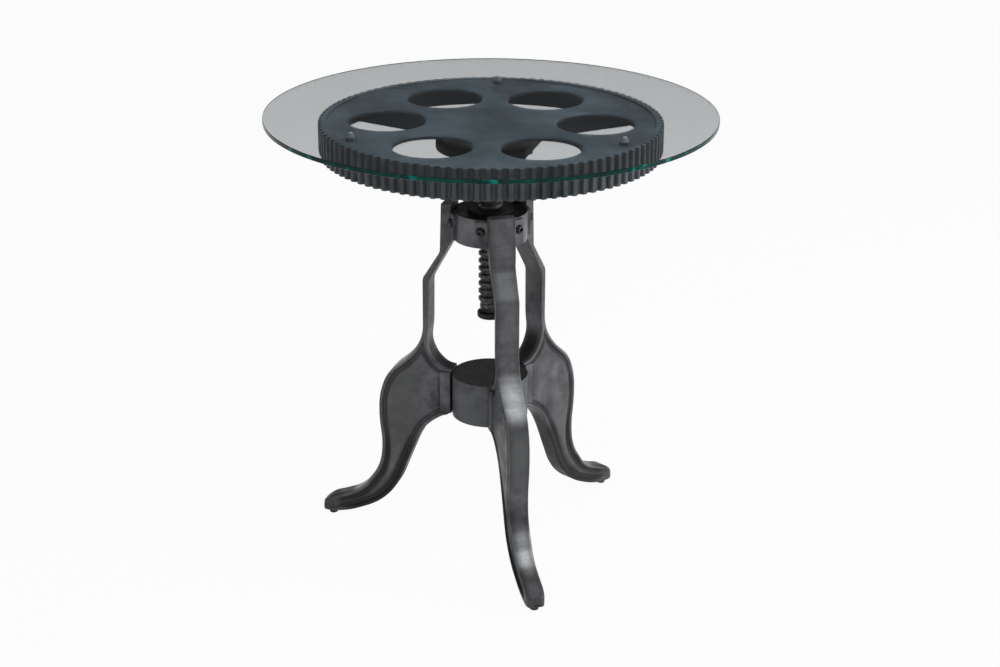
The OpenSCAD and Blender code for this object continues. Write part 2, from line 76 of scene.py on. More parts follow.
def corner_arc(before, at, after, radius, step=5):
    """Points of a rounded corner at one point of a path, at most step degrees apart."""
    if radius == 0:
        return [at]
    u, v = unit(before - at), unit(after - at)
    half = math.acos(np.clip(u @ v, -1, 1)) / 2
    reach = radius / math.tan(half)
    centre = at + unit(u + v) * radius / math.sin(half)
    start, end = at + u * reach - centre, at + v * reach - centre
    first = math.atan2(start[1], start[0])
    sweep = (math.atan2(end[1], end[0]) - first + math.pi) % (2 * math.pi) - math.pi
    count = max(3, math.ceil(abs(math.degrees(sweep)) / step))
    angles = [first + sweep * k / count for k in range(count + 1)]
    return [centre + radius * np.array([math.cos(a), math.sin(a)]) for a in angles]


def rounded_path(points):
    """An open path of (x, y, rounding) points with its corners rounded."""
    flat = [np.array(p[:2], float) for p in points]
    path = [flat[0]]
    for i in range(1, len(flat) - 1):
        path += corner_arc(flat[i - 1], flat[i], flat[i + 1], points[i][2])
    return np.array(path + [flat[-1]])


def lengths(path):
    """Distance along a path at each of its points."""
    steps = np.linalg.norm(np.diff(path, axis=0), axis=1)
    return np.concatenate([[0], np.cumsum(steps)])


def along(path, where):
    """Points of a path at the given distances along it."""
    s = lengths(path)
    return np.stack([np.interp(where, s, path[:, 0]), np.interp(where, s, path[:, 1])], axis=-1)


def distance_along(path, point):
    """How far along a path its nearest point to a given one is."""
    dense = np.linspace(0, lengths(path)[-1], 2000)
    gaps = np.linalg.norm(along(path, dense) - np.array(point), axis=1)
    return dense[np.argmin(gaps)]


def distance_to(points, path):
    """Distance from each of the points to a path."""
    a, b = path[:-1], path[1:]
    ab = b - a
    size = np.maximum((ab ** 2).sum(1), 1e-12)
    ap = points[:, None, :] - a[None]
    t = np.clip((ap * ab[None]).sum(2) / size, 0, 1)
    near = a[None] + t[..., None] * ab[None]
    return np.linalg.norm(points[:, None, :] - near, axis=2).min(1)


def smooth_step(x):
    """A soft step from 0 at 0 to 1 at 1."""
    x = np.clip(x, 0, 1)
    return x * x * (3 - 2 * x)


def finish_mesh(name, bm, sharp=35):
    """Object from a bmesh in millimetres, smooth but for its sharp edges."""
    bmesh.ops.recalc_face_normals(bm, faces=bm.faces)
    mesh = bpy.data.meshes.new(name)
    bm.to_mesh(mesh)
    bm.free()
    mesh.transform(Matrix.Scale(MM, 4))
    mesh.shade_smooth()
    mesh.set_sharp_from_angle(angle=math.radians(sharp))
    piece = bpy.data.objects.new(name, mesh)
    bpy.context.scene.collection.objects.link(piece)
    return piece


def flatten_shading(piece):
    """Keeps the large flat faces of a piece flat, and bends the shading at its rounded edges alone."""
    normals = piece.modifiers.new("normals", "WEIGHTED_NORMAL")
    normals.mode = "FACE_AREA"
    normals.weight = 50
    normals.keep_sharp = True


def grid_faces(bm, rows):
    """Quads between rows of vertices, each row a closed ring."""
    count = len(rows[0])
    for a, b in zip(rows[:-1], rows[1:]):
        for k in range(count):
            n = (k + 1) % count
            bm.faces.new((a[k], a[n], b[n], b[k]))


def lathe(bm, profile, segments):
    """A closed body turned about Z from a profile of (radius, height) that starts and ends on the axis."""
    rings = []
    for r, z in profile[1:-1]:
        rings.append([bm.verts.new((r * math.cos(2 * math.pi * k / segments),
                                    r * math.sin(2 * math.pi * k / segments), z))
                      for k in range(segments)])
    grid_faces(bm, rings)
    for ring, (_, z) in ((rings[0], profile[0]), (rings[-1], profile[-1])):
        centre = bm.verts.new((0, 0, z))
        for k in range(segments):
            bm.faces.new((centre, ring[k], ring[(k + 1) % segments]))


def lathe_sector(bm, profile, segments, start, sweep):
    """A sector of a ring about Z with its two ends closed, from a closed profile of (radius, height)."""
    rows = []
    for k in range(segments + 1):
        a = math.radians(start + sweep * k / segments)
        rows.append([bm.verts.new((r * math.cos(a), r * math.sin(a), z)) for r, z in profile])
    grid_faces(bm, rows)
    bm.faces.new(rows[0])
    bm.faces.new(rows[-1])


def rounded_loop(points, step=12):
    """A closed outline of (x, y, rounding) points with rounded corners."""
    flat = [np.array(p[:2], float) for p in points]
    n = len(flat)
    loop = []
    for i in range(n):
        loop += corner_arc(flat[i - 1], flat[i], flat[(i + 1) % n], points[i][2], step)
    return loop


def rounded_box(bm, low, high, rounding):
    """A box with rounded edges."""
    size = [h - l for l, h in zip(low, high)]
    made = bmesh.ops.create_cube(bm, size=1.0)["verts"]
    for v in made:
        v.co = Vector([l + s * (c + 0.5) for l, s, c in zip(low, size, v.co)])
    edges = list({e for v in made for e in v.link_edges})
    bmesh.ops.bevel(bm, geom=edges, offset=rounding, segments=3, affect="EDGES", profile=0.5)


def turned(angle):
    """A turn about Z, in degrees."""
    return Matrix.Rotation(math.radians(angle), 4, "Z")


def join_in(bm, part):
    """Adds one bmesh to another and frees it."""
    keep = bpy.data.meshes.new("part")
    part.to_mesh(keep)
    part.free()
    bm.from_mesh(keep)
    bpy.data.meshes.remove(keep)


def bmesh_piece(name, build):
    """Object from a function that fills a bmesh."""
    bm = bmesh.new()
    build(bm)
    return finish_mesh(name, bm)


# Legs

# Top of the straps, the glides' distance from the axis, and the toe: its reach, its upper and middle
# level, where its sides begin to close in, and how squarely they do
LEG_TOP = COLLAR_TOP + 7
GLIDE_R = 238.0
TOE_R = 251.0
TOE_Z = FOOT_Z + 13
TOE_MID = FOOT_Z + 6
TOE_START = 236.5
TOE_POWER = 3.0

# Side view of a leg: its outer edge from the collar to the toe, as (distance from the axis, height,
# rounding)
LEG_OUTER = [
    (COLLAR_R + 15.5, LEG_TOP, 0),
    (67.8, 426, 14),
    (93.5, 384.6, 12),
    (93.5, 297, 59),
    (112.8, 267, 114),
    (147.3, 238.1, 66),
    (160.0, 203.5, 108),
    (161.0, 165.3, 224),
    (155.7, 127.4, 133),
    (160.8, 90.2, 74),
    (190.1, 48.6, 57),
    (222.9, 35.8, 188),
    (236.6, 31.6, 39),
    (TOE_R, TOE_Z, 9),
    (TOE_R, TOE_MID + 1, 0),
]
# Its inner edge, from the collar past the hub to the toe
LEG_INNER = [
    (COLLAR_R, LEG_TOP, 0),
    (COLLAR_R, 443.2, 1.5),
    (84.9, 380.2, 12),
    (85.5, 310, 137),
    (89.0, 288, 37.5),
    (79.2, 265, 42.5),
    (62, HUB_TOP + 3, 28),
    (HUB_R, HUB_TOP + 3, 0),
    (HUB_R, HUB_Z - 2, 0),
    (70, 178, 60),
    (91, 162.4, 64),
    (104.8, 138, 188),
    (143.8, 39.4, 97),
    (217.6, FOOT_Z, 128),
    (TOE_R - 0.5, FOOT_Z, 3),
    (TOE_R, TOE_MID - 1, 0),
]
# Pairs of points across a leg, between which its cross-sections are spread, with their number
LEG_PAIRS = [
    ((66, LEG_TOP), (COLLAR_R, LEG_TOP), 12),
    ((67.8, 426), (COLLAR_R, 444.5), 14),
    ((93.5, 385), (84.9, 380.2), 14),
    ((93.5, 305), (85.5, 303), 34),
    ((142, 241), (HUB_R, HUB_TOP + 3), 24),
    ((161, 172), (HUB_R, HUB_Z - 2), 12),
    ((158, 142), (86, 166), 16),
    ((158, 108), (115, 112), 28),
    ((188, 51), (150, 38), 30),
    ((236, 31.8), (224, 7.0), 12),
    ((247, 25.5), (246.5, 7.0), 14),
    ((TOE_R, TOE_MID + 1), (TOE_R, TOE_MID - 1), 0),
]
# Half of a leg's width at some heights
LEG_HALF = [(-5, 13), (57, 13.5), (117, 13.5), (228, 14.5), (298, 16.5), (383, 16.5), (438, 18), (505, 18)]
# Distances from the edge of a leg's side: rounded edge, that of the foot's outer face and where it begins,
# bead, cove, and where the panel reaches its full height, in the thigh and in the shin. Then the cove's
# depth, and the levels between which the panel changes from the thigh's to the shin's
EDGE_R = 1.8
FOOT_EDGE_R = 5.0
FOOT_EDGE_Z, FOOT_EDGE_SPAN = 130, 90
BEAD = 4.2
COVE_START = 6.8
COVE_END = 9.0
PANEL_THIGH = 13.5
PANEL_SHIN = 20.5
COVE_DEPTH = 3.2
PANEL_CHANGE = (150, 80)
# Tilts in degrees between which a leg's outer face gets a painted highlight, with the widths they come and go
# in, and where that ends before the toe
HIGHLIGHT_FROM, HIGHLIGHT_FROM_SPAN = 24.5, 22
HIGHLIGHT_TO, HIGHLIGHT_TO_SPAN = 74, 14
HIGHLIGHT_END_R, HIGHLIGHT_END_SPAN = 222.0, 18
# Where the cove ends at the foot of the strap and at the toe, and where the strap's inner face turns dark
# with painted shade
COVE_TOP, COVE_TOP_SPAN = HUB_TOP + 90, 25
COVE_END_R, COVE_END_SPAN = GLIDE_R + 6, 30
SHADE_TOP, SHADE_SPAN = HUB_TOP + 50, 22
# Patina in the thigh's cove; painted shade beside the block, on the inner face below the hub and along the
# outer face's edges; darker over the toe, whose side and outer face turn dark from different distances
THIGH_SHADE = 0.5
BLOCK_SHADE = 0.9
LOW_SHADE = 1.0
RIM_SHADE = 0.35
TOE_SHADE = 0.45
TOE_SIDE_R, TOE_SIDE_SPAN = 215, 20
TOE_FACE_R, TOE_FACE_SPAN = 232, 10
# The level below which the shin darkens, how far the dark lower side reaches from the shin's edge, and
# where it ends before the toe
SHIN_TOP, SHIN_SPAN = 160, 40
LOW_BAND, LOW_BAND_SPAN = 17.0, 6
LOW_END_R, LOW_END_SPAN = GLIDE_R - 4, 40
# The pad at the collar: its thickness and half its angle
PAD_T = 5
PAD_HALF = 38
# The block at the hub
BLOCK_R = HUB_R + 16
BLOCK_HALF = 17.5
# Steps to the middle of a cross-section, and points in the middle of its sides and across its edge faces
SECTION_HALF = 120
MIDDLE_POINTS = 7
BAND_POINTS = 3


def leg_stations():
    """Outer and inner end of each cross-section of a leg."""
    outer, inner = rounded_path(LEG_OUTER), rounded_path(LEG_INNER)
    marks = [(distance_along(outer, o), distance_along(inner, i), n) for o, i, n in LEG_PAIRS]
    so, si = [], []
    for (o0, i0, n), (o1, i1, _) in zip(marks[:-1], marks[1:]):
        so += list(np.linspace(o0, o1, n, endpoint=False))
        si += list(np.linspace(i0, i1, n, endpoint=False))
    so.append(marks[-1][0])
    si.append(marks[-1][1])
    return outer, inner, along(outer, so), along(inner, si)


def leg_relief(points, gaps):
    """How deep the cove is at points of a leg's side view, from 0 to 1."""
    r, z = points[:, 0], points[:, 1]
    top, low = PANEL_CHANGE
    panel = PANEL_THIGH + (PANEL_SHIN - PANEL_THIGH) * smooth_step((top - z) / (top - low))
    down = smooth_step((gaps - BEAD) / (COVE_START - BEAD))
    up = smooth_step((gaps - COVE_END) / (panel - COVE_END))
    ends = smooth_step((COVE_TOP - z) / COVE_TOP_SPAN) * smooth_step((COVE_END_R - r) / COVE_END_SPAN)
    return (down - up) * ends


def leg_half_width(points, gaps, outer_gaps):
    """Half of a leg's width at points of its side view: a bead at the edge, a cove and a panel inside."""
    r, z = points[:, 0], points[:, 1]
    levels, halves = zip(*LEG_HALF)
    width = np.interp(z, levels, halves)
    at_outer_face = outer_gaps < gaps + 0.01
    radius = EDGE_R + (FOOT_EDGE_R - EDGE_R) * smooth_step((FOOT_EDGE_Z - z) / FOOT_EDGE_SPAN) * at_outer_face
    edge = radius - np.sqrt(np.maximum(radius ** 2 - np.maximum(radius - gaps, 0) ** 2, 0))
    toe = np.clip((r - TOE_START) / (TOE_R + 0.4 - TOE_START), 0, 0.999)
    return (width - edge - COVE_DEPTH * leg_relief(points, gaps)) * (1 - toe ** TOE_POWER) ** (1 / TOE_POWER)


def leg_patina_and_shade(points, gaps, low_gaps):
    """Share of dark patina and painted shade on a leg's side: patina in the cove, painted shade by the block,
    darker low on the shin and on the toe.
    """
    r, z = points[:, 0], points[:, 1]
    # painted shade on the side where the block steps up from it
    beside_block = (r < BLOCK_R + 2.2) & (r > BLOCK_R - 1) & (z > HUB_Z - 1) & (z < HUB_TOP + 1)
    toe = TOE_SHADE * smooth_step((r - TOE_SIDE_R) / TOE_SIDE_SPAN)
    shin = smooth_step((SHIN_TOP - z) / SHIN_SPAN)
    cove = (THIGH_SHADE + (1 - THIGH_SHADE) * shin) * smooth_step(1.4 * leg_relief(points, gaps) - 0.3)
    low_side = shin * smooth_step((LOW_BAND - low_gaps) / LOW_BAND_SPAN)
    low_side = low_side * smooth_step((LOW_END_R - r) / LOW_END_SPAN)
    return np.max([cove, BLOCK_SHADE * beside_block, low_side, toe], axis=0)


def leg_painted_highlight(outer_points):
    """How strong a painted highlight a leg's outer face gets at each cross-section, from how far it looks up.
    """
    tilt = np.degrees(np.arctan2(np.gradient(outer_points[:, 0]), -np.gradient(outer_points[:, 1])))
    ends = smooth_step((HIGHLIGHT_END_R - outer_points[:, 0]) / HIGHLIGHT_END_SPAN)
    return smooth_step((tilt - HIGHLIGHT_FROM) / HIGHLIGHT_FROM_SPAN) * smooth_step((HIGHLIGHT_TO - tilt) / HIGHLIGHT_TO_SPAN) * ends


def section_parts(start, end, outer, inner):
    """Places along a cross-section of a leg, close together at its edges."""
    t = np.linspace(0, 1, 2 * SECTION_HALF + 1)
    points = start + (end - start) * t[:, None]
    from_outer = np.maximum.accumulate(distance_to(points[:SECTION_HALF + 1], outer))
    from_inner = np.maximum.accumulate(distance_to(points[:SECTION_HALF - 1:-1], inner))
    wanted = np.array([0, 0.12, 0.4, 0.9, EDGE_R, 3, BEAD, 4.9, 5.5, 6.1, COVE_START, 7.9, COVE_END,
                       10.1, 11.2, 12.3, PANEL_THIGH, 15, 17.5, PANEL_SHIN])
    room_out, room_in = from_outer[-1], from_inner[-1]
    t_out = np.interp(wanted * min(1, room_out / (PANEL_SHIN + 1)), from_outer, t[:SECTION_HALF + 1])
    t_in = np.interp(wanted * min(1, room_in / (PANEL_SHIN + 1)), from_inner, t[:SECTION_HALF + 1])
    middle = np.linspace(t_out[-1], 1 - t_in[-1], MIDDLE_POINTS + 2)[1:-1]
    return np.concatenate([t_out, middle, 1 - t_in[::-1]])


def leg_body(bm):
    """A leg lying along +X, lofted through its cross-sections."""
    outer, inner, starts, ends = leg_stations()
    s = lengths(inner)
    above_hub = inner[s <= distance_along(inner, (HUB_R, HUB_TOP + 3)) + 0.01]
    below_hub = inner[s >= distance_along(inner, (HUB_R, HUB_Z - 3)) - 0.01]
    patina_and_shade = bm.verts.layers.float.new("patina_and_shade")
    painted_highlight = bm.verts.layers.float.new("painted_highlight")
    rows = []
    for start, end, highlight in zip(starts, ends, leg_painted_highlight(starts)):
        t = section_parts(start, end, outer, inner)
        points = start + (end - start) * t[:, None]
        outer_gaps, low_gaps = distance_to(points, outer), distance_to(points, below_hub)
        gaps = np.min([outer_gaps, distance_to(points, above_hub), low_gaps], axis=0)
        half = leg_half_width(points, gaps, outer_gaps)
        dark = leg_patina_and_shade(points, gaps, low_gaps)
        band = [1 - 2 * k / (BAND_POINTS + 1) for k in range(1, BAND_POINTS + 1)]
        high, low = points[0], points[-1]
        # painted highlight also on the sides near the outer edge
        edge_highlight = 0.5 * highlight * smooth_step((BEAD - outer_gaps) / BEAD)
        # painted shade along the outer face's edges, left out where the painted highlight is
        corner = RIM_SHADE * smooth_step((EDGE_R - outer_gaps) / EDGE_R) * (1 - highlight)
        dark = np.maximum(dark, corner)
        row = [(p[0], h, p[1], d, w) for p, h, d, w in zip(points, half, dark, edge_highlight)]
        # painted shade on the inner face: growing toward the hub above it, full at and below the hub
        shade = float(smooth_step((SHADE_TOP - low[1]) / SHADE_SPAN)) if low[1] > HUB_TOP else LOW_SHADE
        toe = TOE_SHADE * float(smooth_step((high[0] - TOE_FACE_R) / TOE_FACE_SPAN))
        row += [(low[0], half[-1] * share, low[1], shade, 0.0) for share in band]
        row += [(x, -y, z, d, w) for x, y, z, d, w in row[len(points) - 1::-1]]
        # the outer face gets the painted highlight, less toward its edges
        row += [(high[0], -half[0] * share, high[1], toe, highlight * (1 - 0.4 * share ** 2)) for share in band]
        made = []
        for x, y, z, d, w in row:
            made.append(bm.verts.new((x, y, z)))
            made[-1][patina_and_shade] = d
            made[-1][painted_highlight] = w
        rows.append(made)
    grid_faces(bm, rows)
    for row in (rows[0], rows[-1]):
        bm.faces.new(row)


def leg_pads(bm):
    """The curved pad at the collar and the block at the hub, with painted shade on the face toward the hub.
    """
    pad = rounded_loop([(COLLAR_R, COLLAR_Z + 2, 0.3), (COLLAR_R + PAD_T, COLLAR_Z + 2, 1.6),
                        (COLLAR_R + PAD_T, COLLAR_TOP - 1, 1.6), (COLLAR_R, COLLAR_TOP - 1, 0.3)])
    lathe_sector(bm, pad, 32, -PAD_HALF, 2 * PAD_HALF)
    before = set(bm.verts)
    rounded_box(bm, (HUB_R - 0.5, -BLOCK_HALF, HUB_Z), (BLOCK_R, BLOCK_HALF, HUB_TOP), 1.8)
    # painted shade on the block's face toward the hub
    for v in bm.verts:
        if v not in before and v.co.x < HUB_R + 1:
            v[bm.verts.layers.float["patina_and_shade"]] = 1.0


def make_leg(name, angle):
    """One of the three legs, turned to its place."""
    bm = bmesh.new()
    leg_body(bm)
    leg_pads(bm)
    bm.transform(turned(angle))
    leg = finish_mesh("cast_" + name, bm, 55)
    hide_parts(name)
    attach(leg, "base")
    return leg


# Toothed wheel

WHEEL_R = 231.5
TEETH = 102
TOOTH_H = 4.2
# Points round a tooth, and its half width at the foot and the width of a flank, as shares of half its pitch
TOOTH_STEPS = 12
TOOTH_WIDE = 0.66
TOOTH_FLANK = 0.30
# Rim behind the teeth, raised ring, web, ribs, boss, and the recess in which the flange sits
RIM_T = 7.0
RING_W = 6.5
RING_RISE = 3.0
WEB_T = 6.0
RIB_T = 8.0
RIB_DEPTH = 26.0
RIB_EVERY = 2
BOSS_R = 66.0
BOSS_LOW = WHEEL_LOW + 13
POCKET_ROUND = 5
FLANGE_SEAT_R = 75.5
OPENINGS = 6
OPENING_R = 51.5
OPENING_REACH = 140.0
OPENING_ROUND = 5.0
WHEEL_TURN = -17.3
# Distances from the axis, in metres, at which the gaps between the teeth are dark and the teeth are clear
TOOTH_DARK_R = (WHEEL_R - TOOTH_H - 3) * MM
TOOTH_CLEAR_R = (WHEEL_R - 0.5 * TOOTH_H) * MM


def tooth_height(k):
    """How far the rim stands out at step k of a tooth: flat tip, sloped flanks, rounded corners."""
    x = abs(k / TOOTH_STEPS - 0.5) * 2
    return TOOTH_H * float(smooth_step((TOOTH_WIDE - x) / TOOTH_FLANK))


def wheel_body(bm):
    """The wheel without its openings: teeth outside, ring and web above, pocket and boss below."""
    web = WHEEL_TOP - RING_RISE
    root = WHEEL_R - TOOTH_H
    inner = root - RIM_T
    corner = web - WEB_T - POCKET_ROUND
    count = TEETH * TOOTH_STEPS
    rim = [(root - 2.2, WHEEL_TOP, 0), (root - 1.2, WHEEL_TOP, 0.5), (root - 0.6, WHEEL_TOP, 0.9)]
    rim += [(root - 0.2, WHEEL_TOP - 0.2, 0.97), (root, WHEEL_TOP - 0.7, 1), (root, WHEEL_TOP - 2, 1)]
    rim += [(root, WHEEL_LOW + 2, 1), (root, WHEEL_LOW + 0.7, 1), (root - 0.2, WHEEL_LOW + 0.2, 0.97)]
    rim += [(root - 0.8, WHEEL_LOW, 0.9), (root - 2, WHEEL_LOW, 0)]
    top = [(0, web, 0), (30, web, 0), (root - RING_W - 4, web, 0), (root - RING_W - 3, web, 0)]
    top += [(root - RING_W - 1.2, web + 0.5, 0), (root - RING_W - 0.4, web + 1.4, 0)]
    top += [(root - RING_W, WHEEL_TOP - 0.9, 0), (root - RING_W + 0.3, WHEEL_TOP - 0.3, 0)]
    top += [(root - RING_W + 0.9, WHEEL_TOP, 0)]
    low = [(inner + 2.2, WHEEL_LOW, 0), (inner + 0.9, WHEEL_LOW + 0.4, 0), (inner + 0.2, WHEEL_LOW + 1.2, 0)]
    low += [(inner, WHEEL_LOW + 2.2, 0), (inner, corner, 0)]
    low += [(inner - POCKET_ROUND + POCKET_ROUND * math.cos(a), corner + POCKET_ROUND * math.sin(a), 0)
            for a in (0.5, 1.05, 1.57)]
    low += [(BOSS_R + POCKET_ROUND - POCKET_ROUND * math.cos(a), corner + POCKET_ROUND * math.sin(a), 0)
            for a in (1.57, 1.05, 0.5)]
    low += [(BOSS_R, corner, 0), (BOSS_R, BOSS_LOW, 0), (0, BOSS_LOW, 0)]
    profile = top + rim + low
    rings = []
    for r, z, share in profile[1:-1]:
        ring = []
        for k in range(count):
            a = 2 * math.pi * (k - TOOTH_STEPS / 2) / count
            radius = r + share * tooth_height(k % TOOTH_STEPS)
            ring.append(bm.verts.new((radius * math.cos(a), radius * math.sin(a), z)))
        rings.append(ring)
    grid_faces(bm, rings)
    for ring in (rings[0], rings[-1]):
        bm.faces.new(ring)


def ribs(bm):
    """The ribs under every second spoke, from the boss to the rim."""
    under = WHEEL_TOP - RING_RISE - WEB_T
    reach = WHEEL_R - TOOTH_H - RIM_T
    for i in range(0, OPENINGS, RIB_EVERY):
        part = bmesh.new()
        rounded_box(part, (BOSS_R - 4, -RIB_T / 2, under - RIB_DEPTH), (reach + 3, RIB_T / 2, under + 3), 1.2)
        part.transform(turned((i + 0.5) * 360 / OPENINGS))
        join_in(bm, part)


def opening_cutters(bm):
    """What the round openings and the flange's seat take out; the openings' upper edges are rounded over."""
    web = WHEEL_TOP - RING_RISE
    seat_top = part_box("wheel_flange")[1].z / MM + 0.4
    lathe(bm, [(0, WHEEL_LOW - 2), (FLANGE_SEAT_R, WHEEL_LOW - 2), (FLANGE_SEAT_R, seat_top),
               (0, seat_top)], 96)
    profile = [(0, WHEEL_LOW + 2), (OPENING_R, WHEEL_LOW + 2), (OPENING_R, web - OPENING_ROUND)]
    for step in range(1, 9):
        a = math.pi - step * math.pi / 16
        profile.append((OPENING_R + OPENING_ROUND + OPENING_ROUND * math.cos(a),
                        web - OPENING_ROUND + OPENING_ROUND * math.sin(a)))
    profile += [(OPENING_R + OPENING_ROUND, web + 2), (0, web + 2)]
    for i in range(OPENINGS):
        part = bmesh.new()
        lathe(part, profile, 96)
        part.transform(turned(i * 360 / OPENINGS) @ Matrix.Translation((OPENING_REACH, 0, 0)))
        join_in(bm, part)


def make_wheel():
    """The wheel with its ribs joined on and its openings cut."""
    wheel, added, cutter = [bmesh_piece(name, build) for name, build in
                            (("cast_wheel", wheel_body), ("ribs", ribs), ("cutter", opening_cutters))]
    for tool, operation in ((added, "UNION"), (cutter, "DIFFERENCE")):
        step = wheel.modifiers.new(tool.name, "BOOLEAN")
        step.object = tool
        step.operation = operation
        step.solver = "EXACT"
    bpy.context.view_layer.update()
    done = bpy.data.meshes.new_from_object(wheel.evaluated_get(bpy.context.evaluated_depsgraph_get()))
    for piece in (wheel, added, cutter):
        bpy.data.objects.remove(piece)
    bm = bmesh.new()
    bm.from_mesh(done)
    bm.transform(Matrix.Scale(1 / MM, 4))
    bm.transform(turned(WHEEL_TURN))
    wheel = finish_mesh("cast_wheel", bm, 32)
    flatten_shading(wheel)
    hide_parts("toothed_wheel")
    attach(wheel, "top")
    return wheel


# Lifting screw

SCREW_R = 16.5
NECK_R = 12.0
PITCH = 11.0
THREAD_H = 2.6
# Crest and flank of the thread as shares of its pitch, the turn at which it starts, and points round a turn
CREST = 0.4
FLANK = 0.15
THREAD_TURN = 95.6
THREAD_STEPS = 64


def make_screw():
    """The core of the screw and the ridge of its thread."""
    core = SCREW_R - THREAD_H
    bm = bmesh.new()
    lathe(bm, [(0, SCREW_LOW), (core - 1, SCREW_LOW), (core, SCREW_LOW + 1), (core, WHEEL_LOW - 1.5),
               (core + 1, WHEEL_LOW), (NECK_R, WHEEL_LOW), (NECK_R, SCREW_TOP), (0, SCREW_TOP)], 64)
    turns = math.floor((WHEEL_LOW - SCREW_LOW - 4) / PITCH)
    shape = [(0, -0.5), (0.03, 0.0), (FLANK - 0.03, THREAD_H - 0.5), (FLANK, THREAD_H - 0.15),
             (FLANK + 0.05, THREAD_H), (FLANK + CREST - 0.05, THREAD_H), (FLANK + CREST, THREAD_H - 0.15),
             (FLANK + CREST + 0.03, THREAD_H - 0.5), (2 * FLANK + CREST - 0.03, 0.0),
             (2 * FLANK + CREST, -0.5)]
    rows = []
    for j in range(turns * THREAD_STEPS + 1):
        way = j / THREAD_STEPS
        fade = min(1, way, turns - way)
        a = 2 * math.pi * way + math.radians(THREAD_TURN)
        rows.append([bm.verts.new(((core + h * max(fade, 0.02)) * math.cos(a),
                                   (core + h * max(fade, 0.02)) * math.sin(a),
                                   SCREW_LOW + 1.5 + (way + part) * PITCH)) for part, h in shape])
    grid_faces(bm, rows)
    for row in (rows[0], rows[-1]):
        bm.faces.new(row)
    screw = finish_mesh("screw_with_thread", bm, 50)
    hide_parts("lift_screw")
    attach(screw, "top")
    return screw


# Glass and bumpers

ARRIS = 0.9
# The faces that show the green of the glass: within this distance of its edge, and steeper than this
GREEN_BAND = 1.3
GREEN_TILT = 0.7
BUMPER_R = 7.0
BUMPER_TOP_R = 2.8
BUMPER_REACH = 205.0
BUMPER_TURN = WHEEL_TURN - 30


def make_glass():
    """The round plate: a narrow flat ring inside its rounded edge keeps the shading of its faces level."""
    bm = bmesh.new()
    flat_r = GLASS_R - 2 * ARRIS
    half = rounded_path([(0, GLASS_UNDER, 0), (flat_r, GLASS_UNDER, 0), (GLASS_R, GLASS_UNDER, ARRIS),
                         (GLASS_R, TOP, ARRIS), (flat_r, TOP, 0), (0, TOP, 0)])
    lathe(bm, half, 288)
    glass = finish_mesh("round_glass", bm, 50)
    glass.visible_shadow = False
    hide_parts("glass_top")
    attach(glass, "top")
    return glass


def paint_glass(glass, faces, rim):
    """One material on the two faces of the glass, and another on its edge."""
    paint(glass, faces)
    glass.data.materials.append(rim)
    for face in glass.data.polygons:
        near_edge = math.hypot(face.center.x, face.center.y) > (GLASS_R - GREEN_BAND) * MM
        if near_edge and abs(face.normal.z) < GREEN_TILT:
            face.material_index = 1


def make_bumper(number):
    """A bumper with a domed top, between the web and the glass."""
    bm = bmesh.new()
    web = WHEEL_TOP - RING_RISE
    lathe(bm, rounded_path([(0, web, 0), (BUMPER_R, web, 1), (BUMPER_R, web + 4, 6),
                            (BUMPER_TOP_R, GLASS_UNDER, 3), (0, GLASS_UNDER, 0)]), 48)
    bm.transform(turned(BUMPER_TURN + 120 * (number - 1)) @ Matrix.Translation((BUMPER_REACH, 0, 0)))
    bumper = finish_mesh(f"clear_bumper_{number}", bm, 50)
    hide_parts(f"glass_bumper_{number}")
    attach(bumper, "top")
    return bumper


# Materials

# Colours of the patina and painted shade, and of the painted highlights
PATINA_AND_SHADE = (0.010, 0.010, 0.011)
HIGHLIGHT_COLOUR = (0.57, 0.60, 0.61)


def new_material(name):
    """A material with its node tree and its shader."""
    material = bpy.data.materials.new(name)
    material.use_nodes = True
    tree = material.node_tree
    return material, tree, tree.nodes["Principled BSDF"]


def noise(tree, scale, detail=4.0, roughness=0.55, where=(0, 0, 0)):
    """Noise in the object's own coordinates, with features of about 1/scale metres."""
    place = tree.nodes.new("ShaderNodeTexCoord")
    move = tree.nodes.new("ShaderNodeMapping")
    move.inputs["Location"].default_value = where
    texture = tree.nodes.new("ShaderNodeTexNoise")
    texture.inputs["Scale"].default_value = scale
    texture.inputs["Detail"].default_value = detail
    texture.inputs["Roughness"].default_value = roughness
    tree.links.new(place.outputs["Object"], move.inputs["Vector"])
    tree.links.new(move.outputs["Vector"], texture.inputs["Vector"])
    return texture.outputs["Fac"]


def spread(tree, value, low, high, to_low, to_high):
    """Maps a value from one range to another."""
    node = tree.nodes.new("ShaderNodeMapRange")
    node.inputs["From Min"].default_value = low
    node.inputs["From Max"].default_value = high
    node.inputs["To Min"].default_value = to_low
    node.inputs["To Max"].default_value = to_high
    tree.links.new(value, node.inputs["Value"])
    return node.outputs["Result"]


def mix_colour(tree, factor, first, second):
    """Mixes two colours, each a colour or a socket."""
    node = tree.nodes.new("ShaderNodeMix")
    node.data_type = "RGBA"
    tree.links.new(factor, node.inputs["Factor"])
    for value, socket in ((first, node.inputs[6]), (second, node.inputs[7])):
        if isinstance(value, tuple):
            socket.default_value = (*value, 1)
        else:
            tree.links.new(value, socket)
    return node.outputs[2]


def bump(tree, height, distance, strength=1.0, under=None):
    """Bumps of a given height in metres, over other bumps where those are given."""
    node = tree.nodes.new("ShaderNodeBump")
    node.inputs["Distance"].default_value = distance
    node.inputs["Strength"].default_value = strength
    tree.links.new(height, node.inputs["Height"])
    if under is not None:
        tree.links.new(under, node.inputs["Normal"])
    return node.outputs["Normal"]


def facing_up(tree, least=0.8):
    """1 on faces that look up, falling to 0 where the upward share of their direction is the least."""
    place = tree.nodes.new("ShaderNodeTexCoord")
    split = tree.nodes.new("ShaderNodeSeparateXYZ")
    tree.links.new(place.outputs["Normal"], split.inputs["Vector"])
    return spread(tree, split.outputs["Z"], least, 0.95, 0, 1)


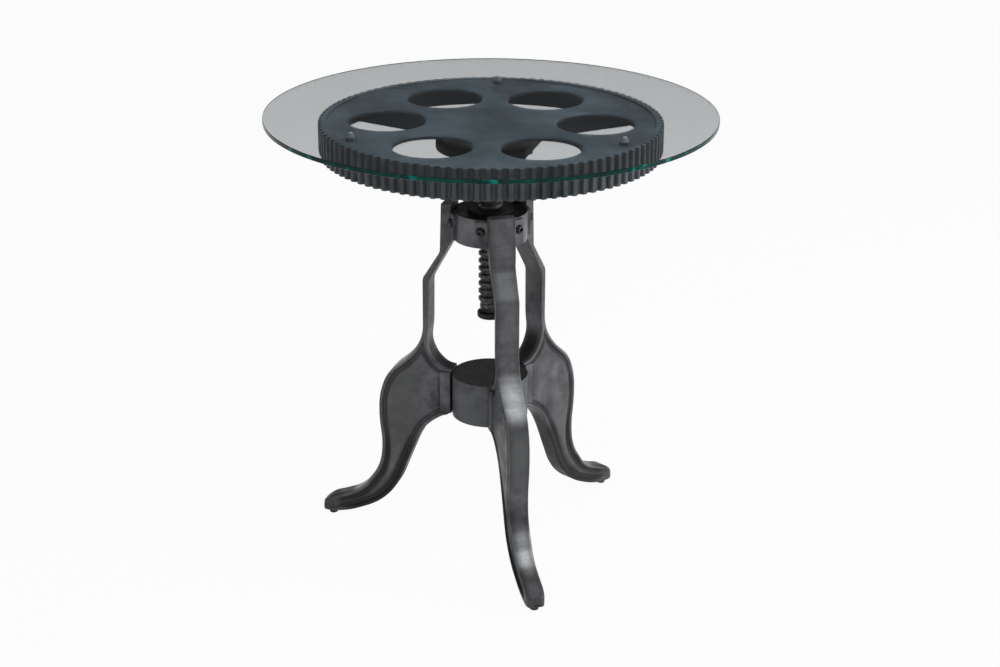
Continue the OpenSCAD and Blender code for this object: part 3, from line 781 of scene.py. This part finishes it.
def mesh_share(tree, layer):
    """How much patina and painted shade, and how much painted highlight, a casting has, from a layer of its
    mesh.
    """
    node = tree.nodes.new("ShaderNodeAttribute")
    node.attribute_name = layer
    return node.outputs["Fac"]


def brushed(tree):
    """Fine level strokes, as a cloth or a wire brush leaves on an upright face."""
    place = tree.nodes.new("ShaderNodeTexCoord")
    squash = tree.nodes.new("ShaderNodeMapping")
    squash.inputs["Scale"].default_value = (40, 40, 500)
    texture = tree.nodes.new("ShaderNodeTexNoise")
    texture.inputs["Scale"].default_value = 1.0
    texture.inputs["Detail"].default_value = 4.0
    tree.links.new(place.outputs["Object"], squash.inputs["Vector"])
    tree.links.new(squash.outputs["Vector"], texture.inputs["Vector"])
    return spread(tree, texture.outputs["Fac"], 0.32, 0.68, 0, 1)


def from_axis(tree, near, far):
    """0 at one distance from the table's axis, in metres, and 1 at another."""
    place = tree.nodes.new("ShaderNodeTexCoord")
    level = tree.nodes.new("ShaderNodeVectorMath")
    level.operation = "MULTIPLY"
    level.inputs[1].default_value = (1, 1, 0)
    reach = tree.nodes.new("ShaderNodeVectorMath")
    reach.operation = "LENGTH"
    tree.links.new(place.outputs["Object"], level.inputs[0])
    tree.links.new(level.outputs["Vector"], reach.inputs[0])
    return spread(tree, reach.outputs["Value"], near, far, 0, 1)


def turned_rings(tree):
    """Fine rings about the axis, as a lathe leaves on an end face."""
    place = tree.nodes.new("ShaderNodeTexCoord")
    waves = tree.nodes.new("ShaderNodeTexWave")
    waves.wave_type = "RINGS"
    waves.rings_direction = "Z"
    waves.inputs["Scale"].default_value = 150
    waves.inputs["Distortion"].default_value = 1.2
    waves.inputs["Detail"].default_value = 3.0
    tree.links.new(place.outputs["Object"], waves.inputs["Vector"])
    return waves.outputs["Fac"]


def cast_metal(name, dark, mid, tint, rough=(0.36, 0.58), metallic=0.35, top=None, rings=True,
               dark_within=None):
    """Dark cast metal: mottled in patches, with a fine grain, slow lumps, patina and painted shade, and
    painted highlights.

    top is another colour for faces that look up, as painted light and shade, with rings as from a lathe or
    with clouds. dark_within has the distances from the axis between which the colour clears from dark.
    """
    material, tree, shader = new_material(name)
    patches = spread(tree, noise(tree, 28, 5, 0.6), 0.36, 0.64, 0, 1)
    clouds = spread(tree, noise(tree, 11, 3, 0.5, (3.1, 1.7, 0.4)), 0.42, 0.62, 0, 0.75)
    specks = spread(tree, noise(tree, 260, 3, 0.6, (0.3, 5.2, 1.9)), 0.45, 0.75, 0, 0.3)
    colour = mix_colour(tree, patches, dark, mid)
    colour = mix_colour(tree, clouds, colour, tint)
    colour = mix_colour(tree, specks, colour, tuple(c * 0.45 for c in mid))
    if dark_within is not None:
        colour = mix_colour(tree, from_axis(tree, *dark_within), tuple(c * 0.75 for c in dark), colour)
    if top is not None:
        # faces that look up get a colour of their own, as painted light and shade
        grain_of_top = turned_rings(tree) if rings else clouds
        top_light_and_shade = mix_colour(tree, grain_of_top, tuple(c * 0.7 for c in top), tuple(c * 1.3 for c in top))
        colour = mix_colour(tree, facing_up(tree, 0.8 if rings else 0.3), colour, top_light_and_shade)
    # painted highlight, with fine strokes, where a leg's outer face looks up
    bright = mix_colour(tree, brushed(tree), tuple(c * 0.84 for c in HIGHLIGHT_COLOUR), HIGHLIGHT_COLOUR)
    uneven = spread(tree, noise(tree, 90, 4, 0.6, (2, 6, 3)), 0.35, 0.65, 0.75, 1)
    colour = mix_colour(tree, product(tree, mesh_share(tree, "painted_highlight"), uneven), colour, bright)
    # patina and painted shade darken the colour
    colour = mix_colour(tree, spread(tree, mesh_share(tree, "patina_and_shade"), 0, 1, 0, 0.9), colour, PATINA_AND_SHADE)
    tree.links.new(colour, shader.inputs["Base Color"])
    tree.links.new(spread(tree, mesh_share(tree, "patina_and_shade"), 0, 1, metallic, 0), shader.inputs["Metallic"])
    shader.inputs["Specular IOR Level"].default_value = 0.2
    gloss = spread(tree, noise(tree, 45, 4, 0.6, (7, 2, 5)), 0.35, 0.65, *rough)
    tree.links.new(gloss, shader.inputs["Roughness"])
    lumps = bump(tree, noise(tree, 70, 3, 0.5, (1, 4, 2)), 0.0006, 0.5)
    tree.links.new(bump(tree, noise(tree, 900, 3, 0.6), 0.00012, 0.8, lumps), shader.inputs["Normal"])
    return material


def dark_steel(name, colour, rough=0.42, metallic=0.7, scale=300, distance=0.0001, lightest=1.9, gloss=0.5):
    """Blackened steel with an uneven, slightly pitted face."""
    material, tree, shader = new_material(name)
    patches = spread(tree, noise(tree, scale / 4, 4, 0.6), 0.35, 0.65, 0, 1)
    tree.links.new(mix_colour(tree, patches, colour, tuple(c * lightest for c in colour)),
                   shader.inputs["Base Color"])
    shader.inputs["Metallic"].default_value = metallic
    shader.inputs["Specular IOR Level"].default_value = gloss
    tree.links.new(spread(tree, noise(tree, scale / 3, 3), 0.3, 0.7, rough - 0.1, rough + 0.14),
                   shader.inputs["Roughness"])
    tree.links.new(bump(tree, noise(tree, scale, 4, 0.6), distance, 0.7), shader.inputs["Normal"])
    return material


def plate_glass():
    """The two faces of the glass: clear, tinted grey as painted shade for the dimmer room seen through it."""
    material, tree, shader = new_material("plate_glass")
    # grey tint as painted shade
    shader.inputs["Base Color"].default_value = (0.730, 0.756, 0.766, 1)
    shader.inputs["Transmission Weight"].default_value = 1.0
    shader.inputs["IOR"].default_value = 1.5
    tree.links.new(spread(tree, noise(tree, 14, 2), 0.3, 0.7, 0.0, 0.006), shader.inputs["Roughness"])
    return material


def glass_rim():
    """The polished edge of the glass, where its green shows, darker and lighter along its length, with
    painted glints.
    """
    material, tree, shader = new_material("glass_rim")
    along_edge = spread(tree, noise(tree, 16, 3, 0.5, (2, 3, 1)), 0.38, 0.68, 0, 1)
    # painted glints along the edge
    painted_glints = spread(tree, noise(tree, 34, 2, 0.5, (5, 1, 2)), 0.60, 0.72, 0, 1)
    colour = mix_colour(tree, along_edge, (0.0, 0.020, 0.016), (0.0, 0.060, 0.048))
    colour = mix_colour(tree, painted_glints, colour, (0.0, 0.22, 0.17))
    tree.links.new(colour, shader.inputs["Base Color"])
    shader.inputs["Roughness"].default_value = 0.12
    shader.inputs["IOR"].default_value = 1.5
    shader.inputs["Specular IOR Level"].default_value = 0.12
    return material


def clear_rubber():
    """Clear rubber over dark iron: painted dark at its sides for the iron seen through them, with a painted
    highlight on top where it meets the glass.
    """
    material, tree, shader = new_material("clear_rubber")
    uneven = spread(tree, noise(tree, 200, 3), 0.3, 0.7, 0, 1)
    # painted dark sides for the iron seen through them, and a painted highlight on the top
    painted_dark_sides = mix_colour(tree, uneven, (0.05, 0.06, 0.065), (0.10, 0.12, 0.13))
    tree.links.new(mix_colour(tree, facing_up(tree, 0.35), painted_dark_sides, (0.85, 0.89, 0.90)),
                   shader.inputs["Base Color"])
    shader.inputs["Transmission Weight"].default_value = 0.2
    shader.inputs["IOR"].default_value = 1.45
    tree.links.new(spread(tree, noise(tree, 200, 3), 0.3, 0.7, 0.03, 0.08), shader.inputs["Roughness"])
    return material


def rubber(name, colour):
    """Dull rubber with a fine grain."""
    material, tree, shader = new_material(name)
    fine = noise(tree, 700, 3)
    share = spread(tree, fine, 0.3, 0.7, 0, 1)
    tree.links.new(mix_colour(tree, share, colour, tuple(c * 1.8 for c in colour)),
                   shader.inputs["Base Color"])
    shader.inputs["Roughness"].default_value = 0.65
    tree.links.new(bump(tree, fine, 0.00006), shader.inputs["Normal"])
    return material


def paint(piece, material):
    """Gives every slot of a piece the one material."""
    piece.data.materials.clear()
    piece.data.materials.append(material)
    for face in piece.data.polygons:
        face.material_index = 0


def soften(node, width):
    """Rounds the hard edges of a node of the frame a little."""
    weld = node.modifiers.new("weld", "WELD")
    weld.merge_threshold = 0.00001
    edge = node.modifiers.new("edge", "BEVEL")
    edge.width = width * MM
    edge.segments = 3
    edge.limit_method = "ANGLE"
    edge.angle_limit = math.radians(38)
    edge.harden_normals = False


# Stage, lights and camera

FLOOR_SIZE = 60
FLOOR_GREY = 0.85
# Strength of the white that the floor and the backdrop show to the camera, and of the room's own light
FLOOR_WHITE = 0.95
BACKDROP_WHITE = 0.98
ROOM_LIGHT = 0.35
# What gloss sees of the room, as (height of the direction, level): the low and the dim band keep the glass
# and the metal from turning pale
ROOM_BANDS = ((0.0, 1.8), (0.14, 1.8), (0.22, 0.10), (0.62, 0.10), (0.85, 1.0), (1.0, 1.0))


def below_half(tree, value):
    """1 where a value is under a half."""
    node = tree.nodes.new("ShaderNodeMath")
    node.operation = "LESS_THAN"
    node.inputs[1].default_value = 0.5
    tree.links.new(value, node.inputs[0])
    return node.outputs[0]


def product(tree, first, second):
    """One value times another."""
    node = tree.nodes.new("ShaderNodeMath")
    node.operation = "MULTIPLY"
    tree.links.new(first, node.inputs[0])
    tree.links.new(second, node.inputs[1])
    return node.outputs[0]


def seen_directly(tree, in_gloss):
    """1 for what the camera sees, also through glass and if asked in gloss; 0 for light on the object."""
    path = tree.nodes.new("ShaderNodeLightPath")
    either = tree.nodes.new("ShaderNodeMath")
    either.operation = "MAXIMUM"
    tree.links.new(path.outputs["Is Camera Ray"], either.inputs[0])
    tree.links.new(path.outputs["Is Transmission Ray"], either.inputs[1])
    if in_gloss:
        camera_or_glass = either
        either = tree.nodes.new("ShaderNodeMath")
        either.operation = "MAXIMUM"
        tree.links.new(camera_or_glass.outputs[0], either.inputs[0])
        tree.links.new(path.outputs["Is Glossy Ray"], either.inputs[1])
    seen = product(tree, either.outputs[0], below_half(tree, path.outputs["Diffuse Depth"]))
    if not in_gloss:
        seen = product(tree, seen, below_half(tree, path.outputs["Glossy Depth"]))
    return seen


def make_stage():
    """A pale floor that shows white to the camera and still takes the object's shadow."""
    bpy.ops.mesh.primitive_plane_add(size=FLOOR_SIZE, location=(0, 0, 0))
    floor = bpy.context.object
    floor.name = "floor"
    material = bpy.data.materials.new("floor")
    material.use_nodes = True
    tree = material.node_tree
    tree.nodes.clear()
    out = tree.nodes.new("ShaderNodeOutputMaterial")
    diffuse = tree.nodes.new("ShaderNodeBsdfDiffuse")
    diffuse.inputs["Color"].default_value = (FLOOR_GREY, FLOOR_GREY, FLOOR_GREY, 1)
    glow = tree.nodes.new("ShaderNodeEmission")
    glow.inputs["Strength"].default_value = 1.0
    share = tree.nodes.new("ShaderNodeMath")
    share.operation = "MULTIPLY"
    share.inputs[1].default_value = FLOOR_WHITE
    tree.links.new(seen_directly(tree, True), share.inputs[0])
    mix = tree.nodes.new("ShaderNodeMixShader")
    tree.links.new(share.outputs[0], mix.inputs["Fac"])
    tree.links.new(diffuse.outputs[0], mix.inputs[1])
    tree.links.new(glow.outputs[0], mix.inputs[2])
    tree.links.new(mix.outputs[0], out.inputs["Surface"])
    floor.data.materials.append(material)


def make_world():
    """A white backdrop to the camera; to the object a soft room, with a dim band that the glass reflects."""
    world = bpy.data.worlds.new("studio")
    bpy.context.scene.world = world
    world.use_nodes = True
    tree = world.node_tree
    tree.nodes.clear()
    out = tree.nodes.new("ShaderNodeOutputWorld")
    room = tree.nodes.new("ShaderNodeBackground")
    room.inputs["Strength"].default_value = ROOM_LIGHT
    place = tree.nodes.new("ShaderNodeTexCoord")
    split = tree.nodes.new("ShaderNodeSeparateXYZ")
    tree.links.new(place.outputs["Generated"], split.inputs["Vector"])
    ramp = tree.nodes.new("ShaderNodeValToRGB")
    while len(ramp.color_ramp.elements) < len(ROOM_BANDS):
        ramp.color_ramp.elements.new(0.5)
    for element, (at, level) in zip(ramp.color_ramp.elements, ROOM_BANDS):
        element.position = at
        element.color = (level, level, level, 1)
    tree.links.new(split.outputs["Z"], ramp.inputs["Fac"])
    path = tree.nodes.new("ShaderNodeLightPath")
    gloss = tree.nodes.new("ShaderNodeMix")
    gloss.data_type = "RGBA"
    gloss.inputs[7].default_value = (1, 1, 1, 1)
    tree.links.new(below_half(tree, path.outputs["Glossy Depth"]), gloss.inputs["Factor"])
    tree.links.new(ramp.outputs["Color"], gloss.inputs[6])
    tree.links.new(gloss.outputs[2], room.inputs["Color"])
    white = tree.nodes.new("ShaderNodeBackground")
    white.inputs["Strength"].default_value = BACKDROP_WHITE
    mix = tree.nodes.new("ShaderNodeMixShader")
    tree.links.new(seen_directly(tree, False), mix.inputs["Fac"])
    tree.links.new(room.outputs[0], mix.inputs[1])
    tree.links.new(white.outputs[0], mix.inputs[2])
    tree.links.new(mix.outputs[0], out.inputs["Surface"])


def soft_box(name, place, target, size, power):
    """A square lamp at a place in metres, aimed at a target."""
    light = bpy.data.lights.new(name, "AREA")
    light.shape = "RECTANGLE"
    light.size, light.size_y = size, size
    light.energy = power
    lamp = bpy.data.objects.new(name, light)
    bpy.context.scene.collection.objects.link(lamp)
    lamp.location = place
    lamp.rotation_euler = (Vector(target) - Vector(place)).to_track_quat("-Z", "Y").to_euler()


# Camera of the photograph: distance and height from the origin in metres, then pitch, roll and turn about
# the table in degrees, and its lens and centre in pixels of the picture
CAMERA_DISTANCE = 2.6768
CAMERA_HEIGHT = 1.3510
CAMERA_PITCH = 21.313
CAMERA_ROLL = 0.22
CAMERA_TURN = 14.715
FOCAL_PIXELS = 2061.1
IMAGE_WIDTH = 1000
CENTRE_PIXEL = 490.18
SENSOR_WIDTH = 36


def make_camera():
    """The photograph's camera."""
    data = bpy.data.cameras.new("camera")
    data.sensor_width = SENSOR_WIDTH
    data.lens = FOCAL_PIXELS / IMAGE_WIDTH * SENSOR_WIDTH
    data.shift_x = (IMAGE_WIDTH / 2 - CENTRE_PIXEL) / IMAGE_WIDTH
    camera = bpy.data.objects.new("camera", data)
    bpy.context.scene.collection.objects.link(camera)
    turn = math.radians(CAMERA_TURN)
    place = Matrix.Translation((-CAMERA_DISTANCE * math.sin(turn), -CAMERA_DISTANCE * math.cos(turn),
                                CAMERA_HEIGHT))
    camera.matrix_world = (place @ Matrix.Rotation(-turn, 4, "Z")
                           @ Matrix.Rotation(math.radians(90 - CAMERA_PITCH), 4, "X")
                           @ Matrix.Rotation(math.radians(CAMERA_ROLL), 4, "Z"))
    bpy.context.scene.camera = camera


# The whole

make_camera()
make_stage()
make_world()
soft_box("key", (0.16, -1.14, 2.29), (0, 0, 0.3), 1.4, 13)
soft_box("side", (2.7, -1.09, 0.9), (0, 0, 0.35), 1.6, 62)
soft_box("fill", (-2.6, -1.2, 1.0), (0, 0, 0.35), 1.4, 8)

leg_iron = cast_metal("leg_iron", (0.052, 0.051, 0.058), (0.150, 0.146, 0.160), (0.102, 0.106, 0.106))
# the wheel's top is painted lighter than its sides, as painted light
wheel_iron = cast_metal("wheel_iron", (0.036, 0.042, 0.049), (0.078, 0.086, 0.096), (0.056, 0.068, 0.070),
                        rough=(0.34, 0.5), metallic=0.2, top=(0.19, 0.250, 0.290), rings=False,
                        dark_within=(TOOTH_DARK_R, TOOTH_CLEAR_R))
# the tops of the hub and the collar are painted darker, as painted shade under the wheel
stand_iron = cast_metal("stand_iron", (0.066, 0.068, 0.075), (0.125, 0.128, 0.138), (0.092, 0.100, 0.106),
                        top=(0.046, 0.047, 0.046))
collar_iron = cast_metal("collar_iron", (0.086, 0.088, 0.094), (0.174, 0.175, 0.184), (0.125, 0.133, 0.138),
                         top=(0.008, 0.008, 0.008))
flange_iron = dark_steel("flange_iron", (0.004, 0.004, 0.0045), 0.6, 0.0, gloss=0.08)
screw_steel = dark_steel("screw_steel", (0.012, 0.012, 0.013), 0.36, 0.5, 700, 0.0006, 7.0)
plain_steel = dark_steel("plain_steel", (0.014, 0.014, 0.015), 0.42, 0.3, gloss=0.2)
bolt_black = dark_steel("bolt_black", (0.010, 0.010, 0.011), 0.36, 0.4)
washer_steel = dark_steel("washer_steel", (0.22, 0.22, 0.225), 0.32, 0.9)
bush_metal = dark_steel("bush_metal", (0.007, 0.0065, 0.006), 0.5, 0.2, gloss=0.1)

for leg_name, leg_angle in LEG_ANGLES.items():
    paint(make_leg(leg_name, leg_angle), leg_iron)
paint(make_wheel(), wheel_iron)
paint(make_screw(), screw_steel)
paint_glass(make_glass(), plate_glass(), glass_rim())
clear = clear_rubber()
for number in (1, 2, 3):
    paint(make_bumper(number), clear)

# Nodes of the frame that show as they are, each with its material and its edges' rounding in millimetres
CARRIED = {
    "collar": (collar_iron, 0.8),
    "centre_hub": (stand_iron, 1.2),
    "threaded_bush": (bush_metal, 0.0),
    "wheel_flange": (flange_iron, 1.0),
    "flange_bolts": (bolt_black, 0.5),
    "spindle_nut": (plain_steel, 0.6),
    "stop_washer": (plain_steel, 0.0),
    "stop_screw": (bolt_black, 0.3),
    "collar_bolts": (bolt_black, 0.3),
    "hub_bolts": (bolt_black, 0.5),
    "hub_washers": (washer_steel, 0.0),
    "glide_front": (rubber("glide_rubber", (0.016, 0.016, 0.017)), 0.0),
    "glide_screws": (washer_steel, 0.0),
}
CARRIED["glide_right"] = CARRIED["glide_front"]
CARRIED["glide_left"] = CARRIED["glide_front"]
for node_name, (material, rounding) in CARRIED.items():
    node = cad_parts[node_name]
    paint(node, material)
    if rounding:
        soften(node, rounding)

bpy.context.scene.view_settings.view_transform = "Standard"
